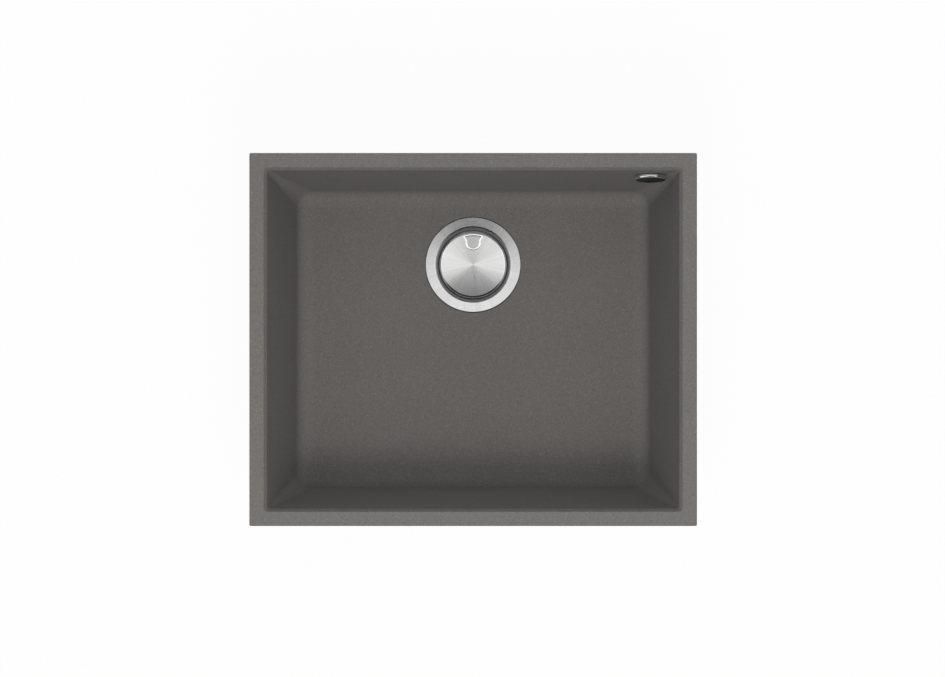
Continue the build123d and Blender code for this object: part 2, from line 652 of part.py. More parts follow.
# Basket post: its flat front top stops the cover, and its back is rounded so that the cover can tip
head_back = PIN_DROP - HEAD_TURN_GAP
head_end_z = pin_z - HEAD_CHIN
turn = sqrt(2) / 2 * head_back
with BuildPart() as basket_post:
    with BuildSketch(level(basket_floor_z)):
        Circle(POST_STUB_RADIUS)
    extrude(amount=stub_end_z - basket_floor_z)
    with BuildSketch(level(basket_floor_z)):
        Circle(POST_FLANGE_RADIUS)
    extrude(amount=POST_FLANGE_THICKNESS)
    with BuildSketch(level(basket_floor_z)):
        Circle(POST_RADIUS)
    extrude(amount=head_end_z - basket_floor_z)
    with BuildSketch(Plane.YZ.offset(-HEAD_WIDTH / 2)):
        with BuildLine():
            Line((pin_y, pin_z + head_back), (pin_y, bracket_under_z))
            Line((pin_y, bracket_under_z), (DRAIN_Y - POST_RADIUS, bracket_under_z))
            Line((DRAIN_Y - POST_RADIUS, bracket_under_z), (DRAIN_Y - POST_RADIUS, head_end_z))
            Line((DRAIN_Y - POST_RADIUS, head_end_z), (DRAIN_Y + POST_RADIUS, head_end_z))
            Line((DRAIN_Y + POST_RADIUS, head_end_z), (pin_y + head_back, pin_z - HEAD_BACK_HEIGHT))
            Line((pin_y + head_back, pin_z - HEAD_BACK_HEIGHT), (pin_y + head_back, pin_z))
            ThreePointArc((pin_y + head_back, pin_z), (pin_y + turn, pin_z + turn), (pin_y, pin_z + head_back))
        make_face()
        with Locations((pin_y, pin_z)):
            Circle(PIN_RADIUS + PIN_GAP, mode=Mode.SUBTRACT)
    extrude(amount=HEAD_WIDTH)
basket_post.part.label = "basket_post"
export_step(basket_post.part, "parts/basket_post.step")

# Space under the cover, inside its lip and around the pan of the recess
cover_edge_z = cover_top_z - COVER_CROWN
under_edge_z = cover_edge_z - COVER_SHEET
lip_end_z = cover_edge_z - COVER_LIP
lip_inside = COVER_RADIUS - COVER_SHEET
pan_z = cover_top_z - THUMB_DEPTH - COVER_SHEET
with BuildPart() as cover_space:
    with BuildSketch(DRAIN_SECTION) as space_section:
        with BuildLine():
            TangentArc((0, cover_under_z), (lip_inside, under_edge_z), tangent=(1, 0))
            Polyline((lip_inside, under_edge_z), (lip_inside, lip_end_z), (0, lip_end_z), (0, cover_under_z))
        make_face()
        space_corner = space_section.vertices().sort_by_distance((lip_inside, under_edge_z))[0]
        fillet(space_corner, COVER_BEND - COVER_SHEET)
    revolve(axis=DRAIN_AXIS)
    with BuildSketch(level(pan_z)):
        add(thumb_outline(COVER_SHEET))
    extrude(amount=cover_top_z - pan_z, mode=Mode.SUBTRACT)

# Cover: slightly domed round pressing with a turned-down lip and the rounded edge of the recess
with BuildPart() as cover_disc:
    with BuildSketch(DRAIN_SECTION) as cover_section:
        with BuildLine():
            TangentArc((0, cover_top_z), (COVER_RADIUS, cover_edge_z), tangent=(1, 0))
            Polyline((COVER_RADIUS, cover_edge_z), (COVER_RADIUS, lip_end_z), (0, lip_end_z), (0, cover_top_z))
        make_face()
        fillet(cover_section.vertices().sort_by_distance((COVER_RADIUS, cover_edge_z))[0], COVER_BEND)
    revolve(axis=DRAIN_AXIS)
    add(cover_space.part, mode=Mode.SUBTRACT)
    with BuildSketch(level(cover_top_z)):
        add(thumb_outline(0))
    extrude(amount=-THUMB_DEPTH, mode=Mode.SUBTRACT)
    fillet(cover_disc.faces().sort_by(Axis.Z)[-1].inner_wires()[0].edges(), THUMB_EDGE_RADIUS)
cover_disc.part.label = "cover_disc"
export_step(cover_disc.part, "parts/cover_disc.step")

# Bracket under the cover: a plate with two ears for the pin
ear_inside = HEAD_WIDTH / 2 + HEAD_SIDE_GAP
ear_outside = ear_inside + BRACKET_SHEET
with BuildPart() as cover_bracket:
    with BuildSketch(Plane(origin=(0, pin_y, bracket_under_z))):
        with Locations((0, (BRACKET_EAR_RADIUS - BRACKET_FRONT) / 2)):
            Rectangle(2 * ear_outside, BRACKET_FRONT + BRACKET_EAR_RADIUS)
    extrude(amount=BRACKET_SHEET)
    for ear_x in (-ear_outside, ear_inside):
        with BuildSketch(Plane(origin=(ear_x, pin_y, pin_z), x_dir=(0, 1, 0), z_dir=(1, 0, 0))):
            Circle(BRACKET_EAR_RADIUS)
            with Locations((0, PIN_DROP / 2)):
                Rectangle(2 * BRACKET_EAR_RADIUS, PIN_DROP)
            Circle(PIN_RADIUS, mode=Mode.SUBTRACT)
        extrude(amount=BRACKET_SHEET)
cover_bracket.part.label = "cover_bracket"
export_step(cover_bracket.part, "parts/cover_bracket.step")

# Hinge pin, fast in the ears and free in the post
with BuildPart() as cover_pin:
    with BuildSketch(Plane(origin=(-ear_outside, pin_y, pin_z), x_dir=(0, 1, 0), z_dir=(1, 0, 0))):
        Circle(PIN_RADIUS)
    extrude(amount=2 * ear_outside)
    for head_x in (-ear_outside - PIN_HEAD_HEIGHT, ear_outside):
        with BuildSketch(Plane(origin=(head_x, pin_y, pin_z), x_dir=(0, 1, 0), z_dir=(1, 0, 0))):
            Circle(PIN_HEAD_RADIUS)
        extrude(amount=PIN_HEAD_HEIGHT)
cover_pin.part.label = "cover_pin"
export_step(cover_pin.part, "parts/cover_pin.step")

# Ring between the overflow cap and the inside of the wall
with BuildPart() as cap_seal:
    with BuildSketch(OVERFLOW):
        Circle(CAP_RADIUS - CAP_SEAL_INSET)
        Circle(CAP_SEAL_INNER_RADIUS, mode=Mode.SUBTRACT)
    extrude(amount=CAP_SEAL_THICKNESS)
cap_seal.part.label = "cap_seal"
export_step(cap_seal.part, "parts/cap_seal.step")

# Overflow cap: a hollow domed button with upright slots and a threaded stub
cap_base = CAP_SEAL_THICKNESS
cap_top = cap_base + CAP_HEIGHT
cap_shoulder_radius = CAP_RADIUS - CAP_SHOULDER
cap_bore_radius = CAP_STUB_RADIUS - CAP_STUB_WALL
with BuildPart() as overflow_cap:
    with BuildSketch(OVERFLOW_SECTION):
        with BuildLine():
            Polyline((0, cap_top), (0, cap_base), (CAP_RADIUS, cap_base), (CAP_RADIUS, cap_base + CAP_EDGE))
            TangentArc((CAP_RADIUS, cap_base + CAP_EDGE), (cap_shoulder_radius, cap_top - CAP_CROWN), tangent=(0, 1))
            TangentArc((0, cap_top), (cap_shoulder_radius, cap_top - CAP_CROWN), tangent=(1, 0))
        make_face()
    revolve(axis=OVERFLOW_AXIS)
    with BuildSketch(OVERFLOW.offset(cap_base)):
        Circle(cap_shoulder_radius)
        Circle(CAP_STUB_RADIUS, mode=Mode.SUBTRACT)
    extrude(amount=CAP_HEIGHT - CAP_CROWN - CAP_SHELL, mode=Mode.SUBTRACT)
    with BuildSketch(OVERFLOW.offset(-CAP_STUB_LENGTH)):
        Circle(CAP_STUB_RADIUS)
    extrude(amount=CAP_STUB_LENGTH + cap_base)
    with BuildSketch(OVERFLOW.offset(-CAP_STUB_LENGTH)):
        Circle(cap_bore_radius)
    extrude(amount=CAP_STUB_LENGTH + cap_top - CAP_CROWN - CAP_SHELL, mode=Mode.SUBTRACT)
    with BuildSketch(OVERFLOW.offset(cap_base)):
        with GridLocations(CAP_SLOT_PITCH, 1, CAP_SLOT_COUNT, 1):
            SlotOverall(CAP_SLOT_LENGTH, CAP_SLOT_WIDTH, rotation=90)
    extrude(amount=CAP_HEIGHT, mode=Mode.SUBTRACT)
overflow_cap.part.label = "overflow_cap"
export_step(overflow_cap.part, "parts/overflow_cap.step")

# Ring between the elbow and the outside of the wall
with BuildPart() as elbow_seal:
    with BuildSketch(OVERFLOW.offset(-wall_back)):
        Circle(ELBOW_FLANGE_RADIUS)
        Circle(OVERFLOW_HOLE_RADIUS, mode=Mode.SUBTRACT)
    extrude(amount=-ELBOW_SEAL_THICKNESS)
elbow_seal.part.label = "elbow_seal"
export_step(elbow_seal.part, "parts/elbow_seal.step")

# Overflow elbow: threaded neck through the wall, flat chamber behind it and a socket for the pipe
chamber_middle = (ELBOW_TOP - ELBOW_BOTTOM) / 2
chamber_height = ELBOW_TOP + ELBOW_BOTTOM
neck_bore_radius = CAP_STUB_RADIUS + THREAD_GAP
with BuildPart() as overflow_elbow:
    with BuildSketch(OVERFLOW.offset(-elbow_seal_back)):
        Circle(ELBOW_FLANGE_RADIUS)
    extrude(amount=-ELBOW_FLANGE_THICKNESS)
    with BuildSketch(OVERFLOW.offset(-elbow_seal_back)):
        Circle(OVERFLOW_HOLE_RADIUS - ELBOW_NECK_GAP)
    extrude(amount=elbow_seal_back - ELBOW_NECK_SHORT)
    with BuildSketch(OVERFLOW.offset(-elbow_flange_back)):
        with Locations((0, chamber_middle)):
            RectangleRounded(ELBOW_WIDTH, chamber_height, ELBOW_CORNER_RADIUS)
    extrude(amount=-ELBOW_DEPTH)
    with BuildSketch(SOCKET.offset(ELBOW_BOTTOM - ELBOW_WALL)):
        Circle(socket_radius)
    extrude(amount=socket_end - ELBOW_BOTTOM + ELBOW_WALL)
    with BuildSketch(OVERFLOW.offset(-elbow_flange_back)):
        with Locations((0, chamber_middle)):
            RectangleRounded(
                ELBOW_WIDTH - 2 * ELBOW_WALL, chamber_height - 2 * ELBOW_WALL, ELBOW_CORNER_RADIUS - ELBOW_WALL
            )
    extrude(amount=ELBOW_WALL - ELBOW_DEPTH, mode=Mode.SUBTRACT)
    with BuildSketch(OVERFLOW.offset(-elbow_flange_back)):
        Circle(neck_bore_radius)
    extrude(amount=elbow_flange_back, mode=Mode.SUBTRACT)
    with BuildSketch(SOCKET.offset(ELBOW_BOTTOM - 2 * ELBOW_WALL)):
        Circle(SOCKET_BORE_RADIUS)
    extrude(amount=SOCKET_SHOULDER + 2 * ELBOW_WALL, mode=Mode.SUBTRACT)
    with BuildSketch(SOCKET.offset(shoulder_end)):
        Circle(PIPE_RADIUS + PIPE_GAP)
    extrude(amount=SOCKET_LENGTH, mode=Mode.SUBTRACT)
    with BuildSketch(SOCKET.offset(socket_end - O_RING_DEPTH)):
        Circle(PIPE_RADIUS + O_RING_WIDTH)
    extrude(amount=-O_RING_THICKNESS, mode=Mode.SUBTRACT)
overflow_elbow.part.label = "overflow_elbow"
export_step(overflow_elbow.part, "parts/overflow_elbow.step")

# Sealing ring in the groove of the socket
with BuildPart() as socket_ring:
    with BuildSketch(SOCKET.offset(socket_end - O_RING_DEPTH)):
        Circle(PIPE_RADIUS + O_RING_WIDTH)
        Circle(PIPE_RADIUS, mode=Mode.SUBTRACT)
    extrude(amount=-O_RING_THICKNESS)
socket_ring.part.label = "socket_ring"
export_step(socket_ring.part, "parts/socket_ring.step")

# Overflow pipe: two straight runs with one bend
with BuildPart() as overflow_pipe:
    with BuildLine():
        FilletPolyline(pipe_start, pipe_corner, pipe_end, radius=PIPE_BEND)
    with BuildSketch(Plane(origin=pipe_start, x_dir=(1, 0, 0), z_dir=wall_down)):
        Circle(PIPE_RADIUS)
        Circle(PIPE_RADIUS - PIPE_WALL, mode=Mode.SUBTRACT)
    sweep()
overflow_pipe.part.label = "overflow_pipe"
export_step(overflow_pipe.part, "parts/overflow_pipe.step")

# Ring that the port nut presses against the mouth of the port
with BuildPart() as port_seal:
    with BuildSketch(PORT.offset(port_end)):
        Circle(PORT_RADIUS)
        Circle(PIPE_RADIUS, mode=Mode.SUBTRACT)
    extrude(amount=PORT_SEAL_THICKNESS)
port_seal.part.label = "port_seal"
export_step(port_seal.part, "parts/port_seal.step")

# Port nut: hexagon cap with a hole for the pipe
port_nut_start = port_end - PORT_NUT_GRIP
with BuildPart() as port_nut:
    with BuildSketch(PORT.offset(port_nut_start)):
        RegularPolygon(PORT_NUT_FLATS / 2, 6, major_radius=False)
    extrude(amount=PORT_NUT_GRIP + PORT_SEAL_THICKNESS + PORT_NUT_END)
    with BuildSketch(PORT.offset(port_nut_start)):
        Circle(PORT_RADIUS + THREAD_GAP)
    extrude(amount=PORT_NUT_GRIP + PORT_SEAL_THICKNESS, mode=Mode.SUBTRACT)
    with BuildSketch(PORT.offset(port_seal_end)):
        Circle(PIPE_RADIUS + PIPE_GAP)
    extrude(amount=PORT_NUT_END, mode=Mode.SUBTRACT)
port_nut.part.label = "port_nut"
export_step(port_nut.part, "parts/port_nut.step")
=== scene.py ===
import json
from math import cos, pi, radians, sin, sqrt

import bmesh
import bpy
from mathutils import Matrix, Vector


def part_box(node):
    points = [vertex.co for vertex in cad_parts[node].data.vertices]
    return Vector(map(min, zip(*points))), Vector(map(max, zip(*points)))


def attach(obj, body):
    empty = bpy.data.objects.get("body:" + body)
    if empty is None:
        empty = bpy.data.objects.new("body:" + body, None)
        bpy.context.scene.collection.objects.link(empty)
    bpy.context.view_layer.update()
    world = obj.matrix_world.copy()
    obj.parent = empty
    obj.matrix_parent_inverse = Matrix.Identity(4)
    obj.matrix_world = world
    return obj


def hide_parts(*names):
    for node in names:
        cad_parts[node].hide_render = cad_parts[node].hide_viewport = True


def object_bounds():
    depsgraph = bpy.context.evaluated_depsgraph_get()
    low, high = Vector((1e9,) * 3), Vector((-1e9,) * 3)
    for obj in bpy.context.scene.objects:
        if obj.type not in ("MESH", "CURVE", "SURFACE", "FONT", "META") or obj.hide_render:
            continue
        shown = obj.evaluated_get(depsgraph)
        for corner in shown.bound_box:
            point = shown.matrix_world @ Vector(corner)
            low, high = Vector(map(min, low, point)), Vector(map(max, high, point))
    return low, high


# Granite composite sink with a basket waste and an overflow, seen from straight above.
# Metres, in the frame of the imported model: the origin is the middle of the mouth, on top of the rim.

# Camera, straight above the mouth
CAMERA_PLACE = (-0.0008, 0.0012, 4.0)
CAMERA_LENS = 126.35
CAMERA_SENSOR = 36.0

# Studio: softboxes all round, a faint dome and a white floor
# Each softbox: name, turn from the front in degrees, tilt from upright in degrees, size, watts
SOFTBOXES = (
    ("softbox_high_front", 0.0, 20.0, 0.6, 18.5),
    ("softbox_mid_front", 0.0, 30.0, 0.9, 11.6),
    ("softbox_low_front", 0.0, 55.0, 1.0, 9.0),
    ("softbox_high_right", 90.0, 35.0, 1.0, 3.8),
    ("softbox_low_right", 90.0, 62.0, 0.8, 7.0),
    ("softbox_high_back", 180.0, 35.0, 1.0, 6.2),
    ("softbox_low_back", 180.0, 62.0, 0.8, 9.1),
    ("softbox_high_left", 270.0, 35.0, 1.0, 3.8),
    ("softbox_low_left", 270.0, 62.0, 0.8, 7.0),
)
HIGH_LIGHT = (1.0, 1.0, 1.0)
LOW_LIGHT = (0.945, 1.0, 0.985)
LOW_TILT = 45.0
SOFTBOX_DISTANCE = 2.3
DOME_LEVEL = 0.005
FLOOR_SIZE = 12.0
FLOOR_GAP = 0.0008
FLOOR_SHADE = 0.045

# The room that metal mirrors: bright all round, dark in front and a little dimmer behind.
# A start and a full value say how far a direction has turned from sideways, as forward over sideways.
ROOM_BRIGHT = 1.1
ROOM_DARK = 0.03
ROOM_BACK_SHARE = 0.94
ROOM_FRONT_START = 0.12
ROOM_FRONT_FULL = 0.9
ROOM_BACK_START = 0.3
ROOM_BACK_FULL = 1.0
ROOM_MIDDLE = 0.02
ROOM_SOFTNESS = 0.03

# Colours of the finishes, linear
GRANITE_DARK = (0.118, 0.110, 0.105)
GRANITE_BASE = (0.166, 0.154, 0.148)
GRANITE_LIGHT = (0.193, 0.180, 0.173)
GRANITE_QUARTZ = (0.252, 0.236, 0.227)
STEEL = (0.89, 0.89, 0.885)
BASKET_STEEL = (0.70, 0.695, 0.69)
BEAD_STEEL = (0.97, 0.97, 0.965)
BRIGHT_STEEL = (0.80, 0.80, 0.80)
CHROME = (0.85, 0.85, 0.855)
# Painted dark reflection on the face of the overflow cap
CAP_PAINTED_DARK = (0.014, 0.014, 0.014)
BRASS = (0.66, 0.50, 0.24)
RUBBER = (0.020, 0.020, 0.022)
GREY_PLASTIC = (0.52, 0.52, 0.51)
RING_PLASTIC = (0.13, 0.133, 0.140)
BLACK_PLASTIC = (0.028, 0.028, 0.030)

# Sizes of the patterns in the finishes: how many fit into a metre
GRAIN_SCALE = 1300.0
SAND_SCALE = 2600.0
CLOUD_SCALE = 14.0
SMEAR_SCALE = 60.0
HAZE_SCALE = 45.0
FLOW_SCALE = 22.0
CAP_MARK_SCALE = 500.0

# Spun steel: how finely its tone changes from ray to ray, and how much darker a ray can get
RAY_SCALE = 4.0
RAY_DEPTH = 0.30

# Overflow cap: chromed round its edge; its face in front is painted near-black, a painted dark reflection
BACK_WALL_SLOPE = 5.9
CAP_FACE_START = 0.0034
CAP_FACE_FULL = 0.0022

# Cover: domed, polished round its bent edge, and dulled by fingers at the back of that edge
COVER_CROWN = 0.0014
COVER_BEND = 0.0042
POLISH_FADE = 0.001
POLISHED_SHARE = 0.4
HANDLED_SHARE = 2.6
HANDLED_START = 0.5
HANDLED_FULL = 0.95

# Thumb recess of the cover, with a flat bead along its edge
THUMB_WIDTH = 0.0172
THUMB_EAR_WIDTH = 0.0233
THUMB_LENGTH = 0.0184
THUMB_EDGE_DISTANCE = 0.0054
THUMB_FLARE = 0.0065
THUMB_CORNER = 0.0014
BEAD_RADIUS = 0.0013
BEAD_FLATNESS = 0.13
BEAD_STEPS = 10
BEAD_ROUND_STEPS = 5
ROUND_HANDLE = 0.5523

# Neck ring: a soft ring in the neck, just under the edge of the cover
RING_INNER_RADIUS = 0.0439
RING_OUTER_RADIUS = 0.0465
RING_DROP = 0.0030
RING_HEIGHT = 0.0024
RING_ROUND = 0.0008
RING_ROUND_STEPS = 4

# Outlet: a 1 1/2 inch pipe thread below its collar
OUTLET_BORE_RADIUS = 0.0190
OUTLET_COLLAR_HEIGHT = 0.0050
THREAD_RADIUS = 0.0239
THREAD_PITCH = 0.002309
THREAD_DEPTH = 0.00140
THREAD_RUN_OUT = 0.0016
THREAD_FLANK_SHARE = 0.46
EDGE_BREAK = 0.0005
SHARP_ANGLE = 32.0

# Turned pieces: steps in a turn, and the distance at which their seams merge
TURN_STEPS = 64
MERGE_DISTANCE = 1e-6

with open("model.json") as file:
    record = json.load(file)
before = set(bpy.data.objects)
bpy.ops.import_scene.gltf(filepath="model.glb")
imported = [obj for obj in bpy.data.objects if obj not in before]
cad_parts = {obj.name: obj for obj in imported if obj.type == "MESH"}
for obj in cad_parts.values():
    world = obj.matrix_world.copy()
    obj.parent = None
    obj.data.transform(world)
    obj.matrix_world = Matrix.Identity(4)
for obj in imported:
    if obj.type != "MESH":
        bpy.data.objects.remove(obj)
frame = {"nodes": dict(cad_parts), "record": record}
cad_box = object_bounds()
nodes = frame["nodes"]
cover_low, cover_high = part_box("cover_disc")
waste_centre = (cover_low + cover_high) / 2
cover_radius = (cover_high.x - cover_low.x) / 2
wall_facing = Vector((0.0, -cos(radians(BACK_WALL_SLOPE)), sin(radians(BACK_WALL_SLOPE))))
cap_front = max(wall_facing.dot(vertex.co) for vertex in nodes["overflow_cap"].data.vertices)
outlet_low, outlet_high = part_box("outlet_tail")
outlet_centre = (outlet_low + outlet_high) / 2


def add_node(tree, kind, inputs=None, **settings):
    """Adds a shader node with its settings. Its inputs are plain values or other nodes' outputs."""
    made = tree.nodes.new(kind)
    for name, value in settings.items():
        setattr(made, name, value)
    for name, value in (inputs or {}).items():
        if isinstance(value, bpy.types.NodeSocket):
            tree.links.new(value, made.inputs[name])
        else:
            made.inputs[name].default_value = value
    return made


def calculate(tree, operation, first, second=0.0):
    """One step of arithmetic on two numbers."""
    return add_node(tree, "ShaderNodeMath", {0: first, 1: second}, operation=operation).outputs[0]


def vector_step(tree, operation, first, second=(0.0, 0.0, 0.0), result="Vector"):
    """One step of arithmetic on two vectors."""
    made = add_node(tree, "ShaderNodeVectorMath", {0: first, 1: second}, operation=operation)
    return made.outputs[result]


def spread(tree, value, low, high, start=0.0, full=1.0, curve="LINEAR"):
    """A value between start and full, spread from low to high."""
    settings = {"Value": value, "From Min": start, "From Max": full, "To Min": low, "To Max": high}
    return add_node(tree, "ShaderNodeMapRange", settings, interpolation_type=curve).outputs["Result"]


def blend_colours(tree, amount, first, second, method="MIX"):
    """Two colours mixed by an amount."""
    made = add_node(tree, "ShaderNodeMix", {"Factor": amount}, data_type="RGBA", blend_type=method)
    for socket, value in ((made.inputs[6], first), (made.inputs[7], second)):
        if isinstance(value, bpy.types.NodeSocket):
            tree.links.new(value, socket)
        else:
            socket.default_value = (*value, 1)
    return made.outputs[2]


def colour_steps(tree, value, stops):
    """A number turned into a colour by steps of (place, colour)."""
    made = add_node(tree, "ShaderNodeValToRGB", {"Fac": value})
    elements = made.color_ramp.elements
    elements[0].position = stops[0][0]
    elements[-1].position = stops[-1][0]
    for place, colour in stops[1:-1]:
        elements.new(place)
    for element, (place, colour) in zip(elements, stops):
        element.color = (*colour, 1)
    return made.outputs["Color"]


def tones(tree, value, colour, start, dark, full, light):
    """A colour that a pattern darkens at its start and lightens at its full value."""
    dark_colour = tuple(dark * part for part in colour)
    light_colour = tuple(light * part for part in colour)
    return colour_steps(tree, value, ((start, dark_colour), (full, light_colour)))


def noise(tree, place, scale, detail=2.0, roughness=0.5):
    """Cloudy noise between 0 and 1."""
    settings = {"Vector": place, "Scale": scale, "Detail": detail, "Roughness": roughness}
    return add_node(tree, "ShaderNodeTexNoise", settings).outputs["Fac"]


def bump(tree, height, strength, depth):
    """A surface normal from a height pattern."""
    settings = {"Height": height, "Strength": strength, "Distance": depth}
    return add_node(tree, "ShaderNodeBump", settings).outputs["Normal"]


def mix_shaders(tree, amount, first, second):
    """Two shaders mixed by an amount."""
    return add_node(tree, "ShaderNodeMixShader", {0: amount, 1: first.outputs[0], 2: second.outputs[0]})


def finish_start(name):
    """A new material: its node tree, its shader and the object's own coordinates."""
    material = bpy.data.materials.new(name)
    material.use_nodes = True
    tree = material.node_tree
    tree.nodes.clear()
    shader = add_node(tree, "ShaderNodeBsdfPrincipled")
    add_node(tree, "ShaderNodeOutputMaterial", {"Surface": shader.outputs["BSDF"]})
    place = add_node(tree, "ShaderNodeTexCoord").outputs["Object"]
    return material, tree, shader, place


def granite():
    """Moulded quartz and resin: mid grey grains, a few dark and pale ones, matt and faintly pitted."""
    material, tree, shader, place = finish_start("granite")
    grains = add_node(tree, "ShaderNodeTexVoronoi", {"Vector": place, "Scale": GRAIN_SCALE})
    grain_tone = add_node(tree, "ShaderNodeSeparateColor", {"Color": grains.outputs["Color"]})
    grain_colour = colour_steps(
        tree,
        grain_tone.outputs["Red"],
        (
            (0.0, GRANITE_DARK),
            (0.12, GRANITE_BASE),
            (0.72, GRANITE_BASE),
            (0.93, GRANITE_LIGHT),
            (1.0, GRANITE_QUARTZ),
        ),
    )
    sand = noise(tree, place, SAND_SCALE, 2.0, 0.6)
    sand_shade = tones(tree, sand, (1.0, 1.0, 1.0), 0.3, 0.9, 0.7, 1.1)
    speckled = blend_colours(tree, 1.0, grain_colour, sand_shade, "MULTIPLY")
    cloud = noise(tree, place, CLOUD_SCALE, 3.0, 0.5)
    cloud_shade = tones(tree, cloud, (1.0, 1.0, 1.0), 0.3, 0.98, 0.7, 1.02)
    clouded = blend_colours(tree, 1.0, speckled, cloud_shade, "MULTIPLY")
    tree.links.new(clouded, shader.inputs["Base Color"])
    tree.links.new(spread(tree, sand, 0.56, 0.70), shader.inputs["Roughness"])
    tree.links.new(bump(tree, sand, 0.12, 0.0003), shader.inputs["Normal"])
    shader.inputs["Specular IOR Level"].default_value = 0.2
    return material


def spun_steel(name, colour, roughness, spin, rings, polished_from=None):
    """Stainless steel turned on the axis of the waste: fine rings, with the light drawn out across them.

    From the radius polished_from outwards, the edge is polished, and dulled again where it is handled.
    """
    material, tree, shader, place = finish_start(name)
    offset = vector_step(tree, "SUBTRACT", place, (waste_centre.x, waste_centre.y, 0.0))
    flat = vector_step(tree, "MULTIPLY", offset, (1.0, 1.0, 0.0))
    radius = vector_step(tree, "LENGTH", flat, result="Value")
    outwards = vector_step(tree, "NORMALIZE", flat)
    turned = add_node(
        tree,
        "ShaderNodeVectorTransform",
        {"Vector": vector_step(tree, "CROSS_PRODUCT", (0.0, 0.0, 1.0), flat)},
        vector_type="VECTOR",
        convert_from="OBJECT",
        convert_to="WORLD",
    )
    tree.links.new(vector_step(tree, "NORMALIZE", turned.outputs["Vector"]), shader.inputs["Tangent"])
    ring = add_node(
        tree,
        "ShaderNodeTexNoise",
        {"W": radius, "Scale": rings, "Detail": 3.0, "Roughness": 0.7},
        noise_dimensions="1D",
    ).outputs["Fac"]
    smear = noise(tree, place, SMEAR_SCALE, 3.0, 0.55)
    rays = noise(tree, outwards, RAY_SCALE, 4.0, 0.65)
    tint = tones(tree, ring, colour, 0.25, 0.94, 0.75, 1.05)
    streaked = blend_colours(tree, spread(tree, rays, 0.0, RAY_DEPTH), tint, (0.0, 0.0, 0.0))
    tree.links.new(streaked, shader.inputs["Base Color"])
    ring_gloss = spread(tree, ring, roughness - 0.03, roughness + 0.03)
    worn = calculate(tree, "ADD", ring_gloss, spread(tree, smear, -0.02, 0.02))
    if polished_from is not None:
        backwards = add_node(tree, "ShaderNodeSeparateXYZ", {"Vector": outwards}).outputs["Y"]
        share = spread(tree, backwards, POLISHED_SHARE, HANDLED_SHARE, HANDLED_START, HANDLED_FULL)
        edge = spread(tree, radius, 1.0, share, polished_from, polished_from + POLISH_FADE)
        worn = calculate(tree, "MULTIPLY", worn, edge)
    tree.links.new(worn, shader.inputs["Roughness"])
    tree.links.new(bump(tree, ring, 0.05, 0.0001), shader.inputs["Normal"])
    shader.inputs["Metallic"].default_value = 1.0
    shader.inputs["Anisotropic"].default_value = spin
    shader.inputs["Anisotropic Rotation"].default_value = 0.25
    return material


def plain_metal(name, colour, roughness, grain):
    """Plated or turned metal with faint marks from handling."""
    material, tree, shader, place = finish_start(name)
    marks = noise(tree, place, grain, 4.0, 0.6)
    haze = noise(tree, place, HAZE_SCALE, 2.0, 0.5)
    tree.links.new(tones(tree, haze, colour, 0.3, 0.95, 0.7, 1.04), shader.inputs["Base Color"])
    tree.links.new(spread(tree, marks, 0.7 * roughness, 1.3 * roughness), shader.inputs["Roughness"])
    tree.links.new(bump(tree, marks, 0.03, 0.0001), shader.inputs["Normal"])
    shader.inputs["Metallic"].default_value = 1.0
    return material


def cap_chrome_painted_dark_face():
    """Chrome plate on the rounded edge of the overflow cap, and a satin face painted near-black: painted
    dark reflection.
    """
    material, tree, shader, place = finish_start("cap_chrome_painted_dark_face")
    outward = vector_step(tree, "DOT_PRODUCT", place, wall_facing, "Value")
    face_start = cap_front - CAP_FACE_START
    face_full = cap_front - CAP_FACE_FULL
    # Painted dark reflection: towards the front the face turns near-black and loses its metal
    painted_dark_share = spread(tree, outward, 0.0, 1.0, face_start, face_full, "SMOOTHSTEP")
    marks = noise(tree, place, CAP_MARK_SCALE, 4.0, 0.6)
    tree.links.new(blend_colours(tree, painted_dark_share, CHROME, CAP_PAINTED_DARK), shader.inputs["Base Color"])
    dull = calculate(tree, "ADD", spread(tree, marks, 0.17, 0.23), spread(tree, painted_dark_share, 0.0, 0.25))
    tree.links.new(spread(tree, painted_dark_share, 1.0, 0.0), shader.inputs["Metallic"])
    tree.links.new(dull, shader.inputs["Roughness"])
    tree.links.new(bump(tree, marks, 0.03, 0.0001), shader.inputs["Normal"])
    return material


def moulded(name, colour, roughness, grain, depth):
    """Moulded plastic or rubber with a fine eroded skin and slight shifts of tone."""
    material, tree, shader, place = finish_start(name)
    skin = noise(tree, place, grain, 3.0, 0.6)
    flow = noise(tree, place, FLOW_SCALE, 3.0, 0.5)
    tree.links.new(tones(tree, flow, colour, 0.3, 0.92, 0.7, 1.06), shader.inputs["Base Color"])
    tree.links.new(spread(tree, skin, roughness - 0.06, roughness + 0.08), shader.inputs["Roughness"])
    tree.links.new(bump(tree, skin, 0.15, depth), shader.inputs["Normal"])
    return material


finishes = {
    "granite": granite(),
    "cover_steel": spun_steel("cover_steel", STEEL, 0.20, 0.8, 3000.0, cover_radius - COVER_BEND),
    "flange_steel": spun_steel("flange_steel", STEEL, 0.25, 0.0, 2200.0),
    "basket_steel": spun_steel("basket_steel", BASKET_STEEL, 0.34, 0.5, 2200.0),
    "bright_steel": plain_metal("bright_steel", BRIGHT_STEEL, 0.18, 700.0),
    "chrome": cap_chrome_painted_dark_face(),
    "brass": plain_metal("brass", BRASS, 0.28, 800.0),
    "rubber": moulded("rubber", RUBBER, 0.66, 1800.0, 0.0002),
    "grey_plastic": moulded("grey_plastic", GREY_PLASTIC, 0.46, 1500.0, 0.0002),
    "black_plastic": moulded("black_plastic", BLACK_PLASTIC, 0.42, 1500.0, 0.0002),
}
slots = {subpart["node"]: subpart["material_slot"] for subpart in frame["record"]["subparts"]}
for node_name, slot_name in slots.items():
    node_mesh = nodes[node_name].data
    node_mesh.materials.clear()
    node_mesh.materials.append(finishes[slot_name])


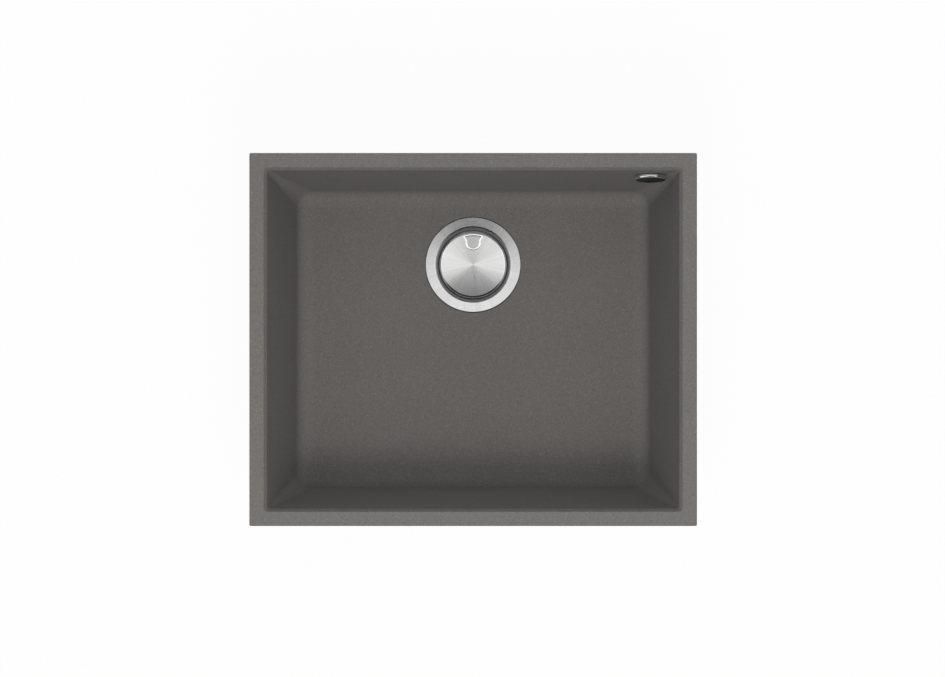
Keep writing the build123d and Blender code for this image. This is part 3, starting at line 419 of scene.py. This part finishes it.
def new_piece(name, mesh, body, material):
    """A mesh made into a piece of the object that moves with a body and wears a given material."""
    piece = bpy.data.objects.new(name, mesh)
    bpy.context.scene.collection.objects.link(piece)
    mesh.materials.append(material)
    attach(piece, body)
    return piece


def over_cover(x, y):
    """A point over the cover, level with the origin, from its place beside the axis of the waste."""
    return Vector((waste_centre.x + x, waste_centre.y + y, 0.0))


def cover_level(place):
    """The height of the domed cover at a place."""
    across = (place - waste_centre).to_2d().length
    return cover_high.z - COVER_CROWN * (across / cover_radius) ** 2


def add_recess_bead():
    """The bead: a rod bent along the edge of the thumb recess, flattened and laid on the domed cover."""
    half = THUMB_WIDTH / 2
    ear = THUMB_EAR_WIDTH / 2
    top = cover_radius - THUMB_EDGE_DISTANCE
    bottom = top - THUMB_LENGTH
    ear_y = sqrt(top**2 - ear**2)
    flare_y = ear_y - THUMB_FLARE
    round_y = bottom + half
    curl = ROUND_HANDLE * half
    flare = THUMB_FLARE / 2
    corner = THUMB_CORNER
    # Each stop: its place, and its handles before and after it
    side = (
        ((half, round_y), (half, round_y - curl), (half, round_y + curl / 2)),
        ((half, flare_y), (half, flare_y - curl / 2), (half, flare_y + flare)),
        ((ear - corner / 3, ear_y - corner), (ear - corner, ear_y - 2 * corner), (ear, ear_y)),
        ((ear - corner, ear_y + corner / 3), (ear, ear_y), (ear / 2, top - (top - ear_y) / 4)),
    )
    lowest = ((0, bottom), (-curl, bottom), (curl, bottom))
    highest = ((0, top), (ear / 3, top), (-ear / 3, top))
    mirrored = [
        ((-x, y), (-after_x, after_y), (-before_x, before_y))
        for (x, y), (before_x, before_y), (after_x, after_y) in reversed(side)
    ]
    stops = [lowest, *side, highest, *mirrored]
    curve = bpy.data.curves.new("recess_bead", "CURVE")
    curve.dimensions = "3D"
    curve.resolution_u = BEAD_STEPS
    curve.bevel_depth = BEAD_RADIUS
    curve.bevel_resolution = BEAD_ROUND_STEPS
    spline = curve.splines.new("BEZIER")
    spline.bezier_points.add(len(stops) - 1)
    spline.use_cyclic_u = True
    for stop, (place, before, after) in zip(spline.bezier_points, stops):
        stop.handle_left_type = "FREE"
        stop.handle_right_type = "FREE"
        stop.co = over_cover(*place)
        stop.handle_left = over_cover(*before)
        stop.handle_right = over_cover(*after)
    rod = bpy.data.objects.new("recess_bead_rod", curve)
    bpy.context.scene.collection.objects.link(rod)
    mesh = bpy.data.meshes.new_from_object(rod)
    bpy.data.objects.remove(rod)
    for vertex in mesh.vertices:
        vertex.co.z = BEAD_FLATNESS * vertex.co.z + cover_level(vertex.co)
    mesh.shade_smooth()
    bead_steel = plain_metal("bead_steel", BEAD_STEEL, 0.10, 1400.0)
    new_piece("recess_bead", mesh, "cover", bead_steel)


def spin_section(shape, section, turn, steps, rise=0.0):
    """A closed section of (radius, height), turned about the outlet's axis and raised at each step."""
    axis = (outlet_centre.x, outlet_centre.y, 0.0)
    points = [shape.verts.new((axis[0] + radius, axis[1], height)) for radius, height in section]
    edges = [shape.edges.new((points[index - 1], points[index])) for index in range(len(points))]
    bmesh.ops.spin(
        shape,
        geom=points + edges,
        cent=axis,
        axis=(0.0, 0.0, 1.0),
        dvec=(0.0, 0.0, rise),
        angle=turn,
        steps=steps,
        use_merge=rise == 0.0,
    )


def add_neck_ring():
    """The neck ring: a flat section with rounded corners, spun once round the axis of the waste."""
    top = cover_high.z - RING_DROP
    shape = bmesh.new()
    middle = Vector(((RING_INNER_RADIUS + RING_OUTER_RADIUS) / 2, 0.0, top - RING_HEIGHT / 2))
    corners = bmesh.ops.create_grid(shape, x_segments=1, y_segments=1, size=0.5)["verts"]
    upright = Matrix.Rotation(pi / 2, 4, "X")
    sizes = Matrix.Diagonal((RING_OUTER_RADIUS - RING_INNER_RADIUS, RING_HEIGHT, 1.0, 1.0))
    bmesh.ops.transform(shape, verts=corners, matrix=Matrix.Translation(middle) @ upright @ sizes)
    bmesh.ops.bevel(
        shape,
        geom=corners,
        offset=RING_ROUND,
        offset_type="OFFSET",
        affect="VERTICES",
        segments=RING_ROUND_STEPS,
        profile=0.5,
        material=-1,
    )
    bmesh.ops.delete(shape, geom=shape.faces[:], context="FACES_ONLY")
    bmesh.ops.spin(
        shape,
        geom=shape.verts[:] + shape.edges[:],
        cent=(0.0, 0.0, 0.0),
        axis=(0.0, 0.0, 1.0),
        angle=2 * pi,
        steps=2 * TURN_STEPS,
        use_merge=True,
    )
    bmesh.ops.remove_doubles(shape, verts=shape.verts[:], dist=MERGE_DISTANCE)
    bmesh.ops.recalc_face_normals(shape, faces=shape.faces[:])
    bmesh.ops.translate(shape, verts=shape.verts[:], vec=(waste_centre.x, waste_centre.y, 0.0))
    mesh = bpy.data.meshes.new("neck_ring")
    shape.to_mesh(mesh)
    shape.free()
    mesh.shade_smooth()
    ring_plastic = moulded("neck_ring", RING_PLASTIC, 0.5, 1800.0, 0.0001)
    new_piece("neck_ring", mesh, "sink", ring_plastic)


def add_threaded_outlet():
    """The outlet tail with its collar, its bore and a thread wound up its outside."""
    low = outlet_low.z
    high = outlet_high.z
    neck = high - OUTLET_COLLAR_HEIGHT
    root = THREAD_RADIUS - THREAD_DEPTH
    collar = (outlet_high.x - outlet_low.x) / 2
    shape = bmesh.new()
    spin_section(
        shape,
        (
            (OUTLET_BORE_RADIUS, low),
            (root - EDGE_BREAK, low),
            (root, low + EDGE_BREAK),
            (root, neck),
            (collar - EDGE_BREAK, neck),
            (collar, neck + EDGE_BREAK),
            (collar, high),
            (OUTLET_BORE_RADIUS, high),
        ),
        2 * pi,
        TURN_STEPS,
    )
    turns = int((neck - low - 2 * THREAD_RUN_OUT) / THREAD_PITCH)
    start = low + THREAD_RUN_OUT
    flank = THREAD_PITCH * THREAD_FLANK_SHARE
    spin_section(
        shape,
        ((root - EDGE_BREAK, start - flank), (THREAD_RADIUS, start), (root - EDGE_BREAK, start + flank)),
        2 * pi * turns,
        TURN_STEPS * turns,
        THREAD_PITCH / TURN_STEPS,
    )
    bmesh.ops.remove_doubles(shape, verts=shape.verts, dist=MERGE_DISTANCE)
    bmesh.ops.holes_fill(shape, edges=[edge for edge in shape.edges if edge.is_boundary], sides=4)
    bmesh.ops.recalc_face_normals(shape, faces=shape.faces)
    mesh = bpy.data.meshes.new("outlet_thread")
    shape.to_mesh(mesh)
    shape.free()
    mesh.set_sharp_from_angle(angle=radians(SHARP_ANGLE))
    outlet_slot = slots["outlet_tail"]
    piece = new_piece("outlet_thread", mesh, "sink", finishes[outlet_slot])
    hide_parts("outlet_tail")


def studio_floor():
    """A floor under the outlet: shown white, with the sink's soft shadow on it, and clear from below."""
    material = bpy.data.materials.new("studio_floor")
    material.use_nodes = True
    tree = material.node_tree
    tree.nodes.clear()
    pale = add_node(tree, "ShaderNodeBsdfDiffuse", {"Color": (0.9, 0.9, 0.9, 1.0)})
    white = add_node(tree, "ShaderNodeEmission", {"Color": (1.0, 1.0, 1.0, 1.0), "Strength": 1.0})
    shown = mix_shaders(tree, FLOOR_SHADE, white, pale)
    path = add_node(tree, "ShaderNodeLightPath")
    seen = calculate(tree, "MAXIMUM", path.outputs["Is Camera Ray"], path.outputs["Is Glossy Ray"])
    seen = calculate(tree, "MAXIMUM", seen, path.outputs["Is Transmission Ray"])
    upper = mix_shaders(tree, seen, pale, shown)
    clear = add_node(tree, "ShaderNodeBsdfTransparent")
    underneath = add_node(tree, "ShaderNodeNewGeometry").outputs["Backfacing"]
    surface = mix_shaders(tree, underneath, upper, clear)
    add_node(tree, "ShaderNodeOutputMaterial", {"Surface": surface.outputs[0]})
    return material


def add_floor():
    """The floor, just under the lowest point of the sink."""
    bpy.ops.mesh.primitive_plane_add(size=FLOOR_SIZE, location=(0.0, 0.0, cad_box[0].z - FLOOR_GAP))
    floor = bpy.context.object
    floor.name = "studio_floor"
    floor.data.materials.append(studio_floor())


def add_world():
    """White where it is seen, an even dome on matt surfaces, and in metal the room."""
    world = bpy.data.worlds.new("studio")
    bpy.context.scene.world = world
    world.use_nodes = True
    tree = world.node_tree
    tree.nodes.clear()
    direction = add_node(tree, "ShaderNodeTexCoord").outputs["Generated"]
    parts = add_node(tree, "ShaderNodeSeparateXYZ", {"Vector": direction})
    sideways = calculate(tree, "ADD", calculate(tree, "ABSOLUTE", parts.outputs["X"]), ROOM_SOFTNESS)
    frontwards = calculate(tree, "SUBTRACT", ROOM_MIDDLE, parts.outputs["Y"])
    to_front = calculate(tree, "DIVIDE", frontwards, sideways)
    front = spread(tree, to_front, ROOM_BRIGHT, ROOM_DARK, ROOM_FRONT_START, ROOM_FRONT_FULL, "SMOOTHSTEP")
    backwards = calculate(tree, "SUBTRACT", parts.outputs["Y"], ROOM_MIDDLE)
    to_back = calculate(tree, "DIVIDE", backwards, sideways)
    back = spread(tree, to_back, 1.0, ROOM_BACK_SHARE, ROOM_BACK_START, ROOM_BACK_FULL, "SMOOTHSTEP")
    path = add_node(tree, "ShaderNodeLightPath")
    dome = add_node(tree, "ShaderNodeBackground", {"Strength": DOME_LEVEL})
    white = add_node(tree, "ShaderNodeBackground", {"Strength": 1.0})
    room_level = calculate(tree, "MULTIPLY", front, back)
    room = add_node(tree, "ShaderNodeBackground", {"Strength": room_level})
    for background in (dome, white, room):
        background.inputs["Color"].default_value = (1.0, 1.0, 1.0, 1.0)
    seen = calculate(tree, "MAXIMUM", path.outputs["Is Camera Ray"], path.outputs["Is Transmission Ray"])
    plain = mix_shaders(tree, seen, dome, white)
    surface = mix_shaders(tree, path.outputs["Is Glossy Ray"], plain, room)
    add_node(tree, "ShaderNodeOutputWorld", {"Surface": surface.outputs[0]})


def add_softboxes():
    """Square softboxes on a sphere about the mouth, turned to its middle and kept out of reflections."""
    for name, turn, tilt, size, watts in SOFTBOXES:
        lamp = bpy.data.lights.new(name, "AREA")
        lamp.size = size
        lamp.energy = watts
        lamp.color = LOW_LIGHT if tilt > LOW_TILT else HIGH_LIGHT
        holder = bpy.data.objects.new(name, lamp)
        facing = Matrix.Rotation(radians(turn), 4, "Z") @ Matrix.Rotation(radians(tilt), 4, "X")
        holder.matrix_world = facing @ Matrix.Translation((0.0, 0.0, SOFTBOX_DISTANCE))
        holder.visible_glossy = False
        bpy.context.scene.collection.objects.link(holder)


def add_camera():
    """The camera, which looks straight down as a new camera does."""
    camera = bpy.data.cameras.new("camera")
    camera.lens = CAMERA_LENS
    camera.sensor_width = CAMERA_SENSOR
    holder = bpy.data.objects.new("camera", camera)
    holder.location = CAMERA_PLACE
    bpy.context.scene.collection.objects.link(holder)
    bpy.context.scene.camera = holder


add_recess_bead()
add_neck_ring()
add_threaded_outlet()
add_floor()
add_world()
add_softboxes()
add_camera()
bpy.context.scene.view_settings.view_transform = "Standard"
